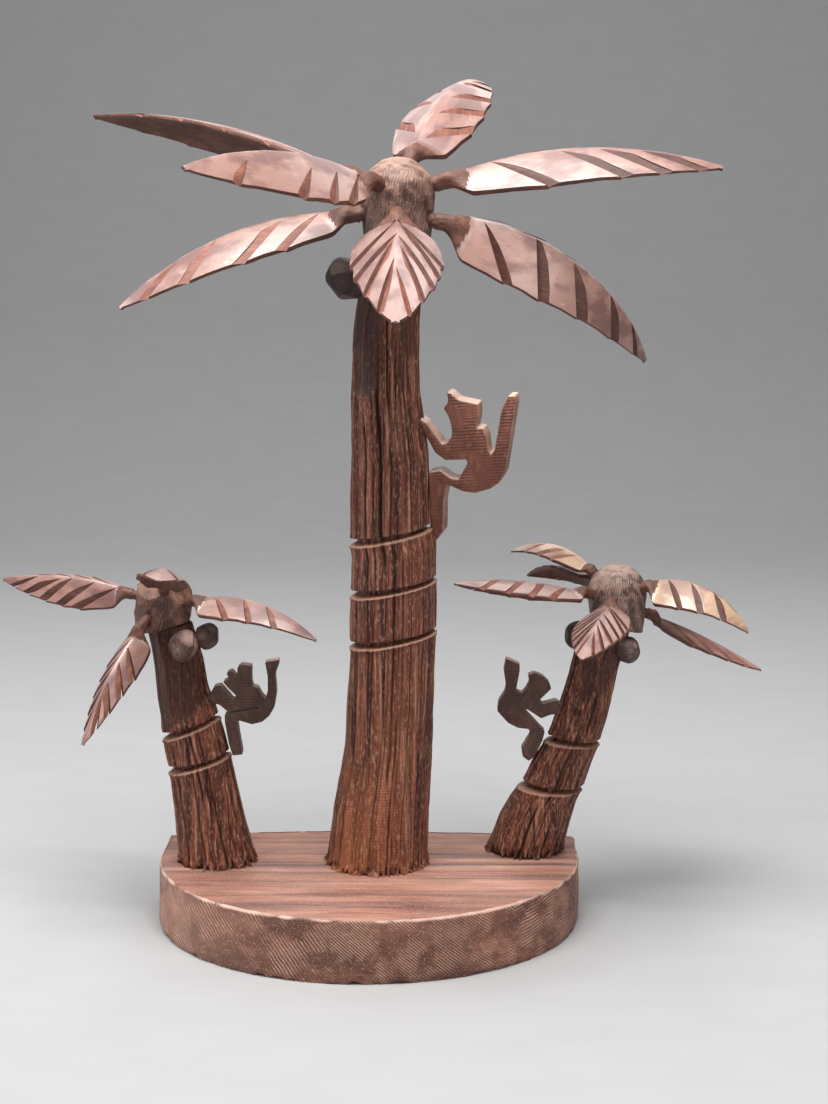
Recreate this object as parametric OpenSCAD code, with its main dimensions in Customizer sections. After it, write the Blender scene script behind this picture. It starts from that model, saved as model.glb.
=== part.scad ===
// Carved hardwood ornament: three palm trees with climbing monkeys on a plank base.
// The origin is on the underside of the plank, in the middle of its width,
// level with the foot of the tall palm. X runs along the plank, Y to its back edge.

/* [Plank] */
// Width of the plank along its back edge
plank_w = 172; // [168:1:200]
// Length of the short straight ends
plank_end = 27; // [20:1:40]
// Depth of the rounded front
plank_bow = 80; // [74:1:100]
// How far the back edge bows out in its middle
back_bow = 7; // [0:1:12]
// Thickness of the plank
plank_t = 25; // [18:1:32]

/* [Palms] */
// Height of the tall palm's trunk, from the plank to its crown
tall_h = 251; // [240:1:275]
// Height of the left palm's trunk
left_h = 97; // [93:1:110]
// Height of the right palm's trunk
right_h = 95; // [92:1:108]
// Radius of the tall palm's crown ball
tall_crown_r = 14.6; // [14:0.1:16]
// Radius of the small palms' crown balls
small_crown_r = 12; // [11.5:0.1:13]

/* [Fronds] */
// Radius of the round peg on a large frond
tall_peg_r = 2.75; // [2:0.05:2.8]
// Radius of the round peg on a small frond
small_peg_r = 1.9; // [1.5:0.05:2]
// Length of peg that goes into the crown
peg_depth = 5; // [4:0.1:5.2]
// Radial clearance of a peg in its hole
peg_fit = 0.05; // [0.02:0.01:0.1]

/* [Hidden] */
eps = 0.01;
crown_foot = 0.9;        // radius of a crown's foot, as part of its ball's radius
foot_h = 1.2;            // height of the straight foot above the seat
seat_gap = 0.3;          // a frond's shoulder stands this far off the ball
hole_spare = 0.3;        // a frond hole is this much deeper than its peg
plank_back = 33.5;       // from the origin to the back corners
chip_x = 45;             // the split in the back edge
chip_w = 6;
chip_d = 3;

// Saw cuts round a trunk, V-shaped
cut_depth = 2;
cut_floor = 0.2;         // half the width of a cut at its bottom
cut_out = 6;             // how far outside the trunk the cutting shape reaches
cut_open = 0.73;         // half the cut's opening for each mm outwards

// Screws from below and dowels between trunk and crown
screw_r = 2;
screw_head_r = 4;
screw_head_h = 3;
screw_sink = 5;
screw_bite = 22;
dowel_r = 2.5;
dowel_half = 6;
dowel_spare = 0.2;
press_gap = 0.05;

// Each trunk: foot, then rings of height fraction, offset in X, radius.
tall_foot = [3.3, 0];
tall_rings = [
    [0, 0, 20.5], [0.09, 1.6, 19.4], [0.2, 5, 17.6], [0.36, 6.7, 17.3], [0.51, 7, 17.1],
    [0.54, 5.3, 15.3], [0.65, 5.6, 15.4], [0.76, 3.7, 13.3], [0.87, 4.2, 13], [1, 7.9, 11.6]
];
left_foot = [-61.8, 1];
left_rings = [
    [0, 0, 15.7], [0.12, -2.1, 14.4], [0.25, -4.1, 13.3], [0.37, -5.9, 12.5], [0.49, -8.2, 12],
    [0.62, -11.1, 11.1], [0.73, -13.4, 10.6], [0.84, -14.6, 10.3], [0.94, -16.6, 9.6], [1, -18, 9.4]
];
right_foot = [64, 17];
right_rings = [
    [0, 0, 15.6], [0.15, 4.6, 14.9], [0.23, 7.7, 13.9], [0.3, 11.8, 12.6], [0.39, 15, 12.2],
    [0.49, 19.7, 10.9], [0.6, 23, 10.5], [0.75, 26.8, 9.5], [0.83, 28.4, 9.2], [1, 33, 9]
];
// Saw cuts: height fraction, slope in degrees about Y
tall_cuts = [[0.537, -12], [0.455, -11.5], [0.373, -11]];
left_cuts = [[0.58, -22], [0.43, -17]];
right_cuts = [[0.495, 3], [0.29, 2]];
// Slope of the joint between trunk and crown, rising to +X
left_seat = 13;
right_seat = -16;

// Crown centres
tall_crown_at = [12, 0, plank_t + tall_h + 16.4];
left_crown_at = [-82.3, 1, plank_t + left_h + 11];
right_crown_at = [100.9, 17, plank_t + right_h + 13];

// Each frond: azimuth, elevation, roll, length, bend, half width, slope of the two halves,
// how late along its length it is widest, and how far below the crown's centre its peg aims
TALL_FRONDS = [
    [157, 31, 26, 118, 38, 15, 0.5, 0.77, 3.7], [239, 15, -34, 102, 30, 13.5, 0.55, 0.8, 0],
    [194, -1, -25, 102, 44, 12.6, 0.35, 0.78, 7], [69, 51, 2, 106, 58, 17, 0.5, 0.78, 2.3],
    [-6, 19, 32, 114, 36, 12.5, 0.35, 0.74, 1], [-18, -9, 50, 114, 80, 13.2, 0.55, 0.61, 7.5],
    [271, -11, -2, 120, 12, 17.2, 0.46, 0.58, 4.6]
];
LEFT_FRONDS = [
    [174, 12, -45, 57, 22, 8.1, 0.65, 0.76, 1], [239, -32, -8, 55, 36, 7.6, 0.78, 0.56, 0],
    [281, 38, -12, 58, 50, 10, 0.4, 0.84, 2.5], [-27, 15, 12, 59, 54, 8.6, 0.5, 0.57, 3.4]
];
RIGHT_FRONDS = [
    [152, 46, -9, 43, 76, 7, 0.38, 0.8, 3.5], [116, 22, 32, 46, 60, 10, 0.45, 0.65, 2],
    [209, 20, 8, 65, 22, 9.5, 0.64, 0.8, 4], [255, 0, 0, 63, 18, 11, 0.45, 0.64, 2],
    [-32, 18, 24, 50, 84, 9.9, 0.36, 0.55, 0.5], [24, 13, 6, 52, 64, 9, 0.45, 0.62, 1.2],
    [15, -21, 4, 58, 12, 8, 0.52, 0.76, 4]
];
frond_stations = 24;
frond_teeth = 5;
neck_part = 0.1;         // part of a frond's length over which its neck turns into blade
neck_over = 1.2;         // radius of the neck, as a multiple of its peg's
tall_edge = 3;           // thickness of a large frond's edge near its crown
small_edge = 1.8;

heartwood = [0.30, 0.15, 0.11];
frondwood = [0.46, 0.24, 0.19];
plankwood = [0.48, 0.27, 0.21];

// Rings of equal point counts joined into one closed skin
module loft(rings) {
    n = len(rings[0]);
    m = len(rings);
    polyhedron(
        points = [for (r = rings) each r],
        faces = concat(
            [[for (j = [n - 1:-1:0]) j]],
            [for (i = [0:m - 2]) for (j = [0:n - 1]) let(k = (j + 1) % n)
                each [[i * n + j, i * n + k, (i + 1) * n + k], [i * n + j, (i + 1) * n + k, (i + 1) * n + j]]],
            [[for (j = [0:n - 1]) (m - 1) * n + j]]
        ),
        convexity = 6
    );
}

function mix(a, b, f) = a + (b - a) * f;
function clamp(v) = max(0, min(1, v));

// ---- Plank ----

function plank_outline() = concat(
    [for (u = [1:-0.2:-1]) [plank_w / 2 * u, plank_back + back_bow * (1 - u * u)]],
    [for (a = [180:5:360])
        [plank_w / 2 * cos(a), plank_back - plank_end + plank_bow * sin(a)]]
);

module screw_hole(foot) {
    translate([foot[0], foot[1], -eps]) {
        cylinder(r = screw_r + press_gap, h = plank_t + 1, $fn = 32);
        cylinder(r = screw_head_r + 0.5, h = screw_sink, $fn = 32);
    }
}

module plank_base() {
    color(plankwood)
    difference() {
        linear_extrude(plank_t) polygon(plank_outline());
        translate([chip_x, plank_back + back_bow * (1 - pow(2 * chip_x / plank_w, 2)) - chip_d, -eps])
            cube([chip_w, chip_d + back_bow, plank_t + 1]);
        for (foot = [tall_foot, left_foot, right_foot]) screw_hole(foot);
    }
}

// ---- Trunks ----

function ring_at(rings, f) =
    let(i = max([for (k = [0:len(rings) - 2]) rings[k][0] <= f ? k : 0]),
        a = rings[i], b = rings[i + 1])
    mix(a, b, (f - a[0]) / (b[0] - a[0]));

module cut_groove(foot, h, rings, cut) {
    r = ring_at(rings, cut[0]);
    translate([foot[0] + r[1], foot[1], plank_t + h * cut[0]]) rotate([0, cut[1], 0])
    rotate_extrude($fn = 48)
        polygon([[r[2] - cut_depth, -cut_floor], [r[2] + cut_out, -cut_out * cut_open],
                 [r[2] + cut_out, cut_out * cut_open], [r[2] - cut_depth, cut_floor]]);
}

// The topmost ring slopes with the crown's seat
module trunk(foot, h, rings, cuts, seat) {
    top = rings[len(rings) - 1];
    color(heartwood)
    difference() {
        loft([for (r = rings) [for (a = [342:-18:0]) let(dx = r[2] * cos(a))
            [foot[0] + r[1] + dx, foot[1] + r[2] * sin(a),
             plank_t + h * r[0] + (r[0] == 1 ? dx * tan(seat) : 0)]]]);
        for (cut = cuts) cut_groove(foot, h, rings, cut);
        translate([foot[0], foot[1], plank_t - 1])
            cylinder(r = screw_r + press_gap, h = screw_bite + 2, $fn = 32);
        translate([foot[0] + top[1], foot[1], plank_t + h - dowel_half - dowel_spare])
            cylinder(r = dowel_r + press_gap, h = 2 * dowel_half, $fn = 32);
    }
}

module tall_trunk() trunk(tall_foot, tall_h, tall_rings, tall_cuts, 0);
module left_trunk() trunk(left_foot, left_h, left_rings, left_cuts, left_seat);
module right_trunk() trunk(right_foot, right_h, right_rings, right_cuts, right_seat);

function top_of(foot, h, rings) =
    [foot[0] + rings[len(rings) - 1][1], foot[1], plank_t + h];

TOPS = [
    top_of(tall_foot, tall_h, tall_rings),
    top_of(left_foot, left_h, left_rings),
    top_of(right_foot, right_h, right_rings)
];

// ---- Crowns: a rasped dome on a short drum ----

// Distance from the crown's middle, along a peg's axis, at which the axis leaves the crown
function reach(f, r) =
    let(e = f[1], low = f[8], s = low * sin(e) + sqrt(r * r - pow(low * cos(e), 2)))
    s * sin(e) >= low ? s : r / cos(e);
// Angle there between the axis and the crown's surface normal
function slant(f, r) =
    let(e = f[1], low = f[8])
    reach(f, r) * sin(e) >= low ? asin(low * cos(e) / r) : abs(e);

// Puts a peg's axis on +X, starting below the crown's centre
module on_axis(at, f) {
    translate([at[0], at[1], at[2] - f[8]]) rotate([0, -f[1], f[0]]) children();
}

module crown(at, r, top, fronds, peg_r, seat) {
    foot_r = r * crown_foot;
    color(heartwood)
    difference() {
        translate(at) rotate_extrude($fn = 64)
            polygon(concat([[0, -2 * r], [foot_r, -2 * r], [foot_r, top[2] - at[2] + foot_h]],
                [for (a = [0:6:90]) [r * cos(a), r * sin(a)]]));
        translate(top) rotate([0, -seat, 0])
            translate([-2 * r, -2 * r, -4 * r]) cube([4 * r, 4 * r, 4 * r]);
        for (f = fronds)
            on_axis(at, f) translate([reach(f, r) - peg_depth - hole_spare, 0, 0])
            rotate([0, 90, 0]) cylinder(r = peg_r + peg_fit, h = peg_depth + r, $fn = 32);
        translate([top[0], top[1], top[2] - dowel_half])
            cylinder(r = dowel_r + press_gap, h = 2 * dowel_half + dowel_spare, $fn = 32);
    }
}

module tall_crown() crown(tall_crown_at, tall_crown_r, TOPS[0], TALL_FRONDS, tall_peg_r, 0);
module left_crown() crown(left_crown_at, small_crown_r, TOPS[1], LEFT_FRONDS, small_peg_r, left_seat);
module right_crown()
    crown(right_crown_at, small_crown_r, TOPS[2], RIGHT_FRONDS, small_peg_r, right_seat);

// ---- Fronds ----

// Half width along the blade, from 0 at the ball to 1 at the tip
function leaf_width(t, late) = pow(sin(180 * pow(t, late)), 0.7);
// Saw teeth that point to the tip
function tooth(t) = let(u = t * frond_teeth) u - floor(u);

function frond_section(t, f, neck_r, edge_t) =
    let(
        blade = clamp((t - neck_part / 2) / neck_part),
        w = max(0.8, f[5] * leaf_width(min(t, 0.985), f[7]) * (0.93 + 0.1 * tooth(t))),
        thick = edge_t * (1 - 0.5 * t),
        drop = f[6] * w,
        round = [for (a = [90:-45:-225]) neck_r * [cos(a), sin(a)]],
        leaf = [[0, 0], [w / 2, -drop * 0.42], [w, -drop], [w - 0.2, -drop - thick],
                [0, -thick * 1.3], [0.2 - w, -drop - thick], [-w, -drop], [-w / 2, -drop * 0.42]]
    )
    [for (k = [0:7]) mix(round[k], leaf[k], blade)];

// Points of one section set square to a centre line that bends evenly downwards
function frond_ring(t, f, neck_r, edge_t) =
    let(b = f[4] * t, run = f[3] * 180 / PI / f[4])
    [for (p = frond_section(t, f, neck_r, edge_t))
        [run * sin(b) + p[1] * sin(b), p[0], -run * (1 - cos(b)) + p[1] * cos(b)]];

module frond(at, crown_r, f, peg_r, edge_t) {
    neck_r = peg_r * neck_over;
    out = reach(f, crown_r);
    shoulder = out + neck_r * tan(slant(f, crown_r)) + seat_gap;
    color(frondwood)
    on_axis(at, f) rotate([f[2], 0, 0]) {
        translate([shoulder, 0, 0])
            loft([for (i = [0:frond_stations]) frond_ring(i / frond_stations, f, neck_r, edge_t)]);
        translate([out - peg_depth, 0, 0])
            rotate([0, 90, 0]) cylinder(r = peg_r, h = shoulder - out + peg_depth + 1, $fn = 32);
    }
}

module tall_frond(i) frond(tall_crown_at, tall_crown_r, TALL_FRONDS[i - 1], tall_peg_r, tall_edge);
module left_frond(i) frond(left_crown_at, small_crown_r, LEFT_FRONDS[i - 1], small_peg_r, small_edge);
module right_frond(i)
    frond(right_crown_at, small_crown_r, RIGHT_FRONDS[i - 1], small_peg_r, small_edge);

// ---- Monkeys: flat scroll-sawn boards, drawn from the hand that holds the trunk ----

TALL_MONKEY = [
    [-1, 0], [4, -3], [7.5, -8], [10, -11.5], [12, -11], [14, -8], [14, -5], [13, -0.5], [11, 3],
    [13, 5.5], [12.5, 9.5], [14.5, 9], [17, 6.5], [25, 5], [25, 0], [24, -4.5], [26.5, -4.5],
    [28, -8], [28.5, -13], [29.5, -15], [31, -13], [32, -7.5], [33.5, 0], [34.5, 4], [37, 8.5],
    [39.5, 8.5], [40, 5.5], [38, -7], [36, -17], [35, -22.5], [32.5, -26.5], [29, -29],
    [23, -31], [18, -30.5], [13, -28.5], [11.5, -28], [10, -35], [9.5, -47], [6, -51.5], [4, -51.5],
    [4, -23], [9, -22], [13, -25], [16, -25.5], [20, -19], [19.5, -17.5], [11, -18], [7, -15],
    [5, -11], [2, -6], [-1, -3]
];
LEFT_MONKEY = [
    [-1, -1], [1, 2.5], [3.5, 3], [6, 0], [8.5, -3], [10, -1.5], [6.5, 2], [4.5, 4.5], [7, 5.5],
    [6, 8], [8, 9], [10, 6.5], [10.5, 10.5], [12, 11.5], [16, 11], [16, 4.5], [16.5, 2.5],
    [18.5, 2], [20, -1], [21.5, -2.5], [22.5, 1], [22.5, 7], [21.5, 12.5], [27, 13.5], [27, 11.5],
    [25.5, 7.5], [26, 0], [25, -6], [23, -9.5], [20, -12], [16, -13], [11, -11.5], [10, -11.5],
    [10.5, -16], [12, -25.5], [8, -26], [6.5, -21], [5, -12], [5, -9], [19, -6.5], [18.5, -5.5],
    [6.5, -8], [3, -5], [-1, -4]
];
RIGHT_MONKEY = [
    [1, 0], [-1, 1.5], [-6.5, 0], [-8, 1.5], [-4.5, 5], [-3, 6.5], [-4, 9], [-6.5, 11.5],
    [-10, 13], [-12.5, 12], [-12, 9], [-13.5, 6], [-15, 4.5], [-17.5, 5.5], [-17, 8], [-16, 14],
    [-16, 16.5], [-21.5, 19], [-22.5, 14], [-21.5, 7.5], [-22, 5], [-24.5, 1], [-25, -3],
    [-20.5, -8], [-16.5, -10], [-12, -10.5], [-11.5, -13], [-15, -19], [-14.5, -22], [-12, -24],
    [-9.5, -22], [-6.5, -15.5], [-5.5, -11.5], [-7.5, -9.5], [-13.5, -3], [-13, -2], [-7, -6],
    [-3.5, -4.5], [1, -4]
];

module monkey(hand, outline, thick, turn, lean) {
    color(frondwood)
    translate(hand) rotate([lean, 0, turn]) rotate([90, 0, 0])
        translate([0, 0, -thick / 2]) linear_extrude(thick) polygon(outline);
}

module tall_monkey() monkey([20.2, -1, 208], TALL_MONKEY, 8, -14, 8);
module left_monkey() monkey([-62.8, 0, 95.5], LEFT_MONKEY, 5.5, 0, 0);
module right_monkey() monkey([77.4, 16, 87.3], RIGHT_MONKEY, 5.5, 0, 0);

// ---- Coconuts: whittled knobs glued under the crowns ----

module coconut(at, r, tilt) {
    color(heartwood) translate(at) rotate(tilt) scale([0.95, 0.95, 1.1]) sphere(r = r, $fn = 32);
}

module tall_coconut() coconut([-7.4, -11.6, 260.5], 8.2, [20, -30, 0]);
module left_coconut_front() coconut([-72.2, -13.5, 117], 6.3, [25, 10, 0]);
module left_coconut_side() coconut([-64.5, -2.5, 118.6], 5.3, [15, 30, 0]);
module right_coconut_outer() coconut([105, 12, 110.5], 5.4, [0, -20, 0]);
module right_coconut_inner() coconut([84.6, 10, 117], 5.6, [10, 20, 0]);

// ---- Hidden fixings ----

module trunk_screws() {
    color("silver")
    for (foot = [tall_foot, left_foot, right_foot])
        translate([foot[0], foot[1], screw_sink - screw_head_h - press_gap]) {
            cylinder(r = screw_head_r, h = screw_head_h, $fn = 32);
            cylinder(r = screw_r, h = plank_t - screw_sink + screw_head_h + screw_bite, $fn = 32);
        }
}

module crown_dowels() {
    color("tan")
    for (top = TOPS)
        translate([top[0], top[1], top[2] - dowel_half])
            cylinder(r = dowel_r, h = 2 * dowel_half, $fn = 32);
}

plank_base();
tall_trunk();
left_trunk();
right_trunk();
tall_crown();
left_crown();
right_crown();
tall_frond(1);  // tall_frond_1
tall_frond(2);  // tall_frond_2
tall_frond(3);  // tall_frond_3
tall_frond(4);  // tall_frond_4
tall_frond(5);  // tall_frond_5
tall_frond(6);  // tall_frond_6
tall_frond(7);  // tall_frond_7
left_frond(1);  // left_frond_1
left_frond(2);  // left_frond_2
left_frond(3);  // left_frond_3
left_frond(4);  // left_frond_4
right_frond(1);  // right_frond_1
right_frond(2);  // right_frond_2
right_frond(3);  // right_frond_3
right_frond(4);  // right_frond_4
right_frond(5);  // right_frond_5
right_frond(6);  // right_frond_6
right_frond(7);  // right_frond_7
tall_monkey();
left_monkey();
right_monkey();
tall_coconut();
left_coconut_front();
left_coconut_side();
right_coconut_outer();
right_coconut_inner();
trunk_screws();
crown_dowels();
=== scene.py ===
from collections import namedtuple
from math import asin, cos, pi, radians, sin, sqrt, tan

import bpy
import numpy as np
from mathutils import Matrix, Vector


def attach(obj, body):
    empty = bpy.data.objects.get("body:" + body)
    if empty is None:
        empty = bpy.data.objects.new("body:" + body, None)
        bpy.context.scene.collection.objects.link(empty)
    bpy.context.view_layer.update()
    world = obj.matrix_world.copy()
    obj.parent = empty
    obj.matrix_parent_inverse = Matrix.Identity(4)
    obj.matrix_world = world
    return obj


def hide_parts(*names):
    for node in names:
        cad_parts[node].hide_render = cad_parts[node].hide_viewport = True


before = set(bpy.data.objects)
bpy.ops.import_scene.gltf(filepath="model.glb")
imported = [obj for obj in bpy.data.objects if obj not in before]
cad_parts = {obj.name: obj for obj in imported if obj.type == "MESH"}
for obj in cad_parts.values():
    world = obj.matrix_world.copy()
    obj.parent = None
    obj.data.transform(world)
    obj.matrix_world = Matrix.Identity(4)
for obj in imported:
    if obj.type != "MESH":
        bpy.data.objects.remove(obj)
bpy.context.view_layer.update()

# ---- Camera ----
# A long lens a little above the crown of the tall palm, looking slightly down at the
# front of the ornament, as a person holding a telephone at arm's length sees it.
bpy.ops.object.camera_add(location=(0.0277, -0.786, 0.279))
camera = bpy.context.object
camera.name = "viewpoint"
camera.rotation_euler = (radians(80.854), 0.0, radians(0.68))
camera.data.lens = 86.96
camera.data.sensor_fit = "HORIZONTAL"
camera.data.sensor_width = 36.0
camera.data.clip_start = 0.02
camera.data.clip_end = 20.0
bpy.context.scene.camera = camera
bpy.context.scene.view_settings.view_transform = "Standard"

# ---- Table and lights ----
# The ornament stands on a plain pale table top that runs up behind it in one soft curve.
# One big soft lamp hangs overhead, one behind gives the polished wood its sheen, and two
# weaker ones stand at the sides.


def clear():
    if bpy.context.object and bpy.context.object.mode != "OBJECT":
        bpy.ops.object.mode_set(mode="OBJECT")
    bpy.ops.object.select_all(action="DESELECT")


def pick(piece):
    clear()
    piece.select_set(True)
    bpy.context.view_layer.objects.active = piece


def node(tree, kind, **settings):
    """A new node. Each setting is a socket to link, an input's value or a choice of the node."""
    made = tree.nodes.new(kind)
    for key, value in settings.items():
        if isinstance(value, bpy.types.NodeSocket):
            tree.links.new(value, made.inputs[key])
        elif key in made.inputs:
            made.inputs[key].default_value = value
        else:
            setattr(made, key, value)
    return made


def new_material(name):
    made = bpy.data.materials.new(name)
    made.use_nodes = True
    return made, made.node_tree, made.node_tree.nodes["Principled BSDF"]


def two_tones(value, dark, light):
    ramp = node(value.id_data, "ShaderNodeValToRGB", Fac=value)
    for stop, tone in zip(ramp.color_ramp.elements, (dark, light)):
        stop.color = (*tone, 1)
    return ramp.outputs["Color"]


def points_of(piece):
    """The places of a mesh's points, one row for each."""
    flat = np.empty(len(piece.data.vertices) * 3)
    piece.data.vertices.foreach_get("co", flat)
    return flat.reshape(-1, 3)


# the shares of the table top's length where its flat part and its curve end, and the curve's radius
FLAT_END, CURVE_END, CURVE_R = 0.45, 0.65, 0.6
clear()
bpy.ops.mesh.primitive_grid_add(x_subdivisions=2, y_subdivisions=40, size=2.0, location=(0, 0, 0))
table = bpy.context.object
table.name = "table_top"
points = points_of(table)
run = (points[:, 1] + 1) / 2
turn = np.clip((run - FLAT_END) / (CURVE_END - FLAT_END), 0, 1) * pi / 2
points[:, 0] *= 3.0
points[:, 1] = -2.0 + 2.9 * np.clip(run / FLAT_END, 0, 1) + CURVE_R * np.sin(turn)
points[:, 2] = CURVE_R * (1 - np.cos(turn)) + 2.2 * np.clip((run - CURVE_END) / (1 - CURVE_END), 0, 1)
table.data.vertices.foreach_set("co", points.ravel())
bpy.ops.object.shade_smooth()
table_paint, tree, shader = new_material("table_paint")
shader.inputs["Roughness"].default_value = 0.75
speckle = node(tree, "ShaderNodeTexNoise", Scale=180.0, Detail=4.0).outputs["Fac"]
tree.links.new(two_tones(speckle, (0.36, 0.36, 0.365), (0.40, 0.40, 0.405)), shader.inputs["Base Color"])
table.data.materials.append(table_paint)


def soft_lamp(name, place, aim, size, power, tone):
    bpy.ops.object.light_add(type="AREA", location=place)
    lamp = bpy.context.object
    lamp.name = name
    lamp.data.shape = "RECTANGLE"
    lamp.data.size = size[0]
    lamp.data.size_y = size[1]
    lamp.data.energy = power
    lamp.data.color = tone
    lamp.rotation_euler = (Vector(aim) - Vector(place)).to_track_quat("-Z", "Y").to_euler()


soft_lamp("lamp_over", (-0.05, -0.28, 1.1), (0, 0, 0.15), (0.8, 0.5), 22, (1.0, 0.98, 0.96))
soft_lamp("lamp_front", (0.6, -1.1, 0.6), (0, 0, 0.15), (0.5, 0.5), 3.5, (1.0, 0.97, 0.94))
soft_lamp("lamp_back", (0.0, 0.72, 0.86), (0, 0, 0.2), (1.5, 0.45), 4, (0.96, 0.98, 1.0))
soft_lamp("lamp_left", (-0.9, 0.0, 0.6), (0, 0, 0.12), (0.5, 0.7), 4, (0.93, 0.96, 1.0))
room = bpy.context.scene.world or bpy.data.worlds.new("room")
bpy.context.scene.world = room
room.use_nodes = True
room.node_tree.nodes["Background"].inputs["Color"].default_value = (0.80, 0.83, 0.88, 1)
room.node_tree.nodes["Background"].inputs["Strength"].default_value = 0.18

# ---- Plank ----
# The base is a piece of 25 mm sawn hardwood with a straight back and a bowed front. Its top
# is planed and oiled, its sides keep the slanting marks of the saw and its edges are chipped.
MM = 0.001
PLANK_W, PLANK_END, PLANK_BOW, BACK_BOW, PLANK_T, PLANK_BACK = 172, 27, 80, 7, 25, 33.5
CHIP_X, CHIP_W, CHIP_D = 45, 6, 3
# how far round the outline the back, the left end and the bowed front each stop, and the
# share of it that an end and the front take
BACK_STOP, LEFT_STOP, FRONT_STOP, END_RUN, FRONT_RUN = 0.36, 0.40, 0.96, 0.04, 0.56
ROUND = 640
CELLS = 64


def lattice_noise(x, y, seed):
    """Smooth noise from -1 to 1 that repeats every CELLS cells."""
    grid = np.random.default_rng(seed).uniform(-1, 1, (CELLS, CELLS))
    i, j = np.floor(x).astype(int), np.floor(y).astype(int)
    fx, fy = x - i, y - j
    fx, fy = fx * fx * (3 - 2 * fx), fy * fy * (3 - 2 * fy)
    i0, i1, j0, j1 = i % CELLS, (i + 1) % CELLS, j % CELLS, (j + 1) % CELLS
    low = grid[i0, j0] * (1 - fx) + grid[i1, j0] * fx
    high = grid[i0, j1] * (1 - fx) + grid[i1, j1] * fx
    return low * (1 - fy) + high * fy


def wrapped_grid(name, around, along):
    """A flat grid to be wrapped round: the piece and each point's place round it and along it."""
    clear()
    bpy.ops.mesh.primitive_grid_add(x_subdivisions=around, y_subdivisions=along, size=2.0,
                                    location=(0, 0, 0))
    made = bpy.context.object
    made.name = made.data.name = name
    share = (points_of(made) + 1) / 2
    u = np.rint(share[:, 0] * around).astype(int)
    v = np.rint(share[:, 1] * along).astype(int)
    return made, u % around, v


def shape_to(piece, place_mm):
    piece.data.vertices.foreach_set("co", (np.asarray(place_mm) * MM).ravel())
    piece.data.update()


def weld(piece, angle):
    """Closes the seams and poles, turns the faces outwards and sets which edges stay sharp."""
    pick(piece)
    bpy.ops.object.mode_set(mode="EDIT")
    bpy.ops.mesh.select_all(action="SELECT")
    bpy.ops.mesh.remove_doubles(threshold=0.000003)
    bpy.ops.mesh.dissolve_degenerate(threshold=0.000002)
    bpy.ops.mesh.normals_make_consistent(inside=False)
    bpy.ops.object.mode_set(mode="OBJECT")
    bpy.ops.object.shade_smooth_by_angle(angle=radians(angle))


def point_value(piece, name, values):
    """Stores one number for each point, for the piece's material."""
    layer = piece.data.attributes.new(name, "FLOAT", "POINT")
    layer.data.foreach_set("value", np.asarray(values, dtype=float).ravel())


def plank_edge(k):
    """Point k of ROUND round the plank's outline, in mm."""
    share = k / ROUND
    if share < BACK_STOP:
        a = 1 - share / BACK_STOP * 2
        return PLANK_W / 2 * a, PLANK_BACK + BACK_BOW * (1 - a * a)
    if share < LEFT_STOP:
        return -PLANK_W / 2, PLANK_BACK - PLANK_END * (share - BACK_STOP) / END_RUN
    if share < FRONT_STOP:
        a = pi * (1 + (share - LEFT_STOP) / FRONT_RUN)
        return PLANK_W / 2 * cos(a), PLANK_BACK - PLANK_END + PLANK_BOW * sin(a)
    return PLANK_W / 2, PLANK_BACK - PLANK_END * (1 - share) / END_RUN


outline = np.array([plank_edge(k) for k in range(ROUND)])
ahead = np.roll(outline, -1, 0) - np.roll(outline, 1, 0)
outward = np.stack([ahead[:, 1], -ahead[:, 0]], 1)
outward /= -np.linalg.norm(outward, axis=1)[:, None]
outward *= np.sign((outward * (outline - [0, -10])).sum(1))[:, None]
# from the middle of the underside, up the side and over the edge to the middle of the top
rows = [("under", s) for s in (1.0, 0.75, 0.5, 0.25, 0.1, 0.03)] \
    + [("side", s) for s in np.linspace(0, 1, 34)] \
    + [("over", s) for s in (0.012, 0.022, 0.034, 0.05, 0.08, 0.14, 0.22, 0.32, 0.44, 0.56, 0.68,
                             0.8, 0.9, 1.0)]
plank, u, v = wrapped_grid("plank", ROUND, len(rows) - 1)
middle = np.array([0.0, -8.0])
place = np.zeros((len(u), 3))
ragged = 0.35 * lattice_noise(u / 9.0, 0 * u, 3) + 0.25 * lattice_noise(u / 3.1, 0 * u, 4)
for r, (zone, s) in enumerate(rows):
    at = v == r
    k = u[at]
    edge = outline[k]
    if zone == "side":
        z = PLANK_T * s
        saw = 0.10 * np.sin((k * 0.75 + z) * 2 * pi / 1.7) \
            + 0.25 * lattice_noise(k / 7.0, z / 6.0 + k / 40.0, 5)
        chips = np.maximum(0, lattice_noise(k / 5.0, 0 * k, 8) - 0.25) \
            + 0.35 * np.abs(lattice_noise(k / 2.2, 0 * k, 9))
        worn = np.maximum(0, 1 - s * PLANK_T / 2.2) * (0.35 + 2.2 * chips) \
            + np.maximum(0, 1 - (1 - s) * PLANK_T / 0.9) ** 2 * (0.5 + ragged[at])
        flare = 0.8 * (1 - s) * np.clip(-edge[:, 0] / 60, 0, 1)
        place[at, :2] = edge + outward[k] * (saw - worn - 0.35 + flare)[:, None]
        place[at, 2] = z
    else:
        place[at, :2] = middle + (edge - middle) * (1 - s)
        if zone == "over":
            place[at, 2] = PLANK_T - 0.15 - (0.22 + 0.3 * ragged[at]) * (0.05 - min(s, 0.05)) / 0.05
shape_to(plank, place)
weld(plank, 50)
# the split in the back edge
bpy.ops.mesh.primitive_cube_add(size=1.0, location=(
    (CHIP_X + CHIP_W / 2) * MM, (PLANK_BACK + BACK_BOW * 0.72 + 3.2) * MM, PLANK_T * 0.5 * MM))
splinter = bpy.context.object
splinter.scale = (CHIP_W * MM, 2 * CHIP_D * MM, 1.2 * PLANK_T * MM)
splinter.rotation_euler = (0.05, 0.0, -0.16)


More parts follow.
